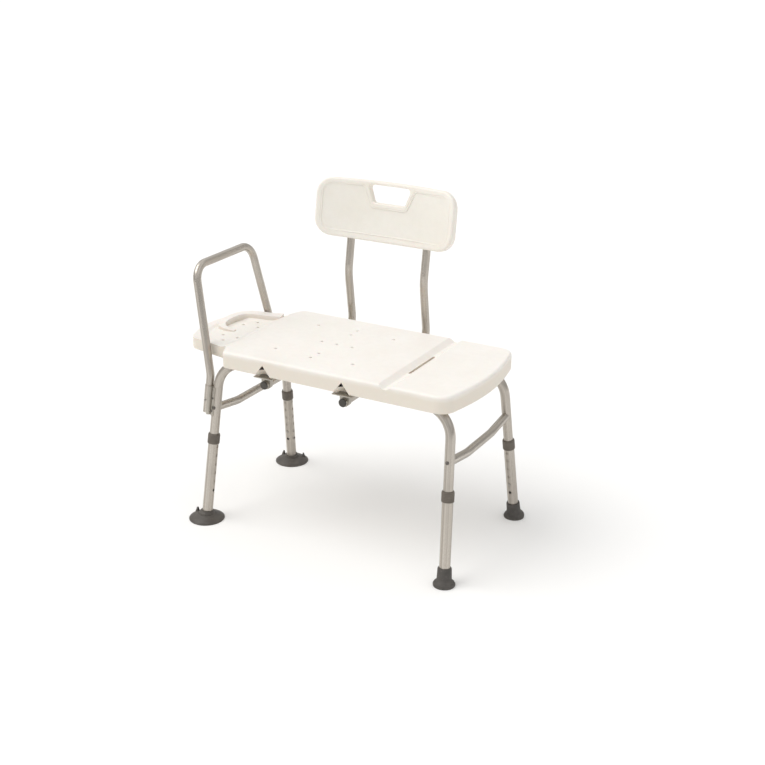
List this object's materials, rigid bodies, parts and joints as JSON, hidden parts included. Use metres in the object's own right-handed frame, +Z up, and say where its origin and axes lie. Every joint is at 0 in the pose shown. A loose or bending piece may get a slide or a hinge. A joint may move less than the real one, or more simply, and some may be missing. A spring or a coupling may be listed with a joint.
{
  "type": "bath transfer bench",
  "caption": "Bath transfer bench: moulded seat with a soap tray, sliding-in backrest, arm rail, and splayed telescopic legs on suction cups and rubber tips.",
  "frame": {"origin": "on the floor under the middle of the bench's bounding box", "axes": "+Z up, +X along the seat towards its wide end, away from the arm rail, -Y towards the sitter's feet, +Y towards the backrest"},
  "size_m": [0.8946, 0.5529, 0.8853],
  "materials": {
    "moulded_plastic": "satin, finely grained blow-moulded polyethylene",
    "tube_aluminium": "satin anodised, warm grey",
    "bracket_aluminium": "satin pressed sheet",
    "collar_plastic": "matt moulded, dark warm grey",
    "tip_rubber": "matt, dark warm grey",
    "suction_rubber": "matt, slightly waxy, dark warm grey",
    "plug_plastic": "matt moulded",
    "button_steel": "zinc plated",
    "spring_steel": "spring steel strip",
    "fastener_steel": "zinc plated"
  },
  "bodies": {
    "frame": {"arm_rail": "tube_aluminium", "brace_bolts": "fastener_steel", "brace_end_plugs": "plug_plastic", "brace_left": "tube_aluminium", "brace_right": "tube_aluminium", "bracket_screws": "fastener_steel", "front_frame_tube": "tube_aluminium", "leg_button_spring_front_left": "spring_steel", "leg_button_spring_front_right": "spring_steel", "leg_button_spring_rear_left": "spring_steel", "leg_button_spring_rear_right": "spring_steel", "post_bracket_front_left": "bracket_aluminium", "post_bracket_front_right": "bracket_aluminium", "post_bracket_rear_left": "bracket_aluminium", "post_bracket_rear_right": "bracket_aluminium", "rail_button_spring_front": "spring_steel", "rail_button_spring_rear": "spring_steel", "rail_saddle_front": "bracket_aluminium", "rail_saddle_rear": "bracket_aluminium", "rail_socket_front": "tube_aluminium", "rail_socket_rear": "tube_aluminium", "rear_frame_tube": "tube_aluminium", "saddle_rivets": "fastener_steel", "seat": "moulded_plastic", "seat_screws": "fastener_steel"},
    "leg_front_left": {"leg_tube_front_left": "tube_aluminium", "leg_collar_front_left": "collar_plastic", "suction_foot_front": "suction_rubber"},
    "leg_button_front_left": {"leg_button_front_left": "button_steel"},
    "leg_front_right": {"leg_tube_front_right": "tube_aluminium", "leg_collar_front_right": "collar_plastic", "rubber_tip_front": "tip_rubber"},
    "leg_button_front_right": {"leg_button_front_right": "button_steel"},
    "leg_rear_left": {"leg_tube_rear_left": "tube_aluminium", "leg_collar_rear_left": "collar_plastic", "suction_foot_rear": "suction_rubber"},
    "leg_button_rear_left": {"leg_button_rear_left": "button_steel"},
    "leg_rear_right": {"leg_tube_rear_right": "tube_aluminium", "leg_collar_rear_right": "collar_plastic", "rubber_tip_rear": "tip_rubber"},
    "leg_button_rear_right": {"leg_button_rear_right": "button_steel"},
    "backrest": {"backrest": "moulded_plastic", "backrest_screws": "fastener_steel", "back_post_left": "tube_aluminium", "back_post_plug_left": "plug_plastic", "back_button_spring_left": "spring_steel", "back_post_right": "tube_aluminium", "back_post_plug_right": "plug_plastic", "back_button_spring_right": "spring_steel"},
    "back_button_left": {"back_button_left": "button_steel"},
    "back_button_right": {"back_button_right": "button_steel"},
    "rail_button_front": {"rail_button_front": "button_steel"},
    "rail_button_rear": {"rail_button_rear": "button_steel"}
  },
  "joints": [
    {"name": "leg_slide_front_left", "type": "slide", "parent": "frame", "child": "leg_front_left", "axis": [-0.0484, -0.1425, -0.9886], "range_m": [-0.0254, 0.1016], "deforming": ["leg_button_front_left", "leg_button_spring_front_left"]},
    {"name": "leg_button_press_front_left", "type": "slide", "parent": "frame", "child": "leg_button_front_left", "axis": [0.007, -0.9898, 0.1423], "range_m": [0, 0.0038], "stiffness_N_per_m": 3000},
    {"name": "leg_slide_front_right", "type": "slide", "parent": "frame", "child": "leg_front_right", "axis": [0.0484, -0.1425, -0.9886], "range_m": [-0.0254, 0.1016], "deforming": ["leg_button_front_right", "leg_button_spring_front_right"]},
    {"name": "leg_button_press_front_right", "type": "slide", "parent": "frame", "child": "leg_button_front_right", "axis": [-0.007, -0.9898, 0.1423], "range_m": [0, 0.0038], "stiffness_N_per_m": 3000},
    {"name": "leg_slide_rear_left", "type": "slide", "parent": "frame", "child": "leg_rear_left", "axis": [-0.0484, 0.1425, -0.9886], "range_m": [-0.0254, 0.1016], "deforming": ["leg_button_rear_left", "leg_button_spring_rear_left"]},
    {"name": "leg_button_press_rear_left", "type": "slide", "parent": "frame", "child": "leg_button_rear_left", "axis": [0.007, 0.9898, 0.1423], "range_m": [0, 0.0038], "stiffness_N_per_m": 3000},
    {"name": "leg_slide_rear_right", "type": "slide", "parent": "frame", "child": "leg_rear_right", "axis": [0.0484, 0.1425, -0.9886], "range_m": [-0.0254, 0.1016], "deforming": ["leg_button_rear_right", "leg_button_spring_rear_right"]},
    {"name": "leg_button_press_rear_right", "type": "slide", "parent": "frame", "child": "leg_button_rear_right", "axis": [-0.007, 0.9898, 0.1423], "range_m": [0, 0.0038], "stiffness_N_per_m": 3000},
    {"name": "backrest_slide", "type": "slide", "parent": "frame", "child": "backrest", "axis": [0, 1, 0], "range_m": [0, 0.36], "deforming": ["back_button_left", "back_button_right", "back_button_spring_left", "back_button_spring_right"]},
    {"name": "back_button_press_left", "type": "slide", "parent": "backrest", "child": "back_button_left", "axis": [0, 0, 1], "range_m": [0, 0.0024], "stiffness_N_per_m": 3000},
    {"name": "back_button_press_right", "type": "slide", "parent": "backrest", "child": "back_button_right", "axis": [0, 0, 1], "range_m": [0, 0.0024], "stiffness_N_per_m": 3000},
    {"name": "rail_button_press_front", "type": "slide", "parent": "frame", "child": "rail_button_front", "axis": [0.238, 0.9596, -0.1499], "range_m": [0, 0.0038], "stiffness_N_per_m": 3000, "deforming": ["rail_button_spring_front"]},
    {"name": "rail_button_press_rear", "type": "slide", "parent": "frame", "child": "rail_button_rear", "axis": [0.238, -0.9596, -0.1499], "range_m": [0, 0.0038], "stiffness_N_per_m": 3000, "deforming": ["rail_button_spring_rear"]}
  ]
}
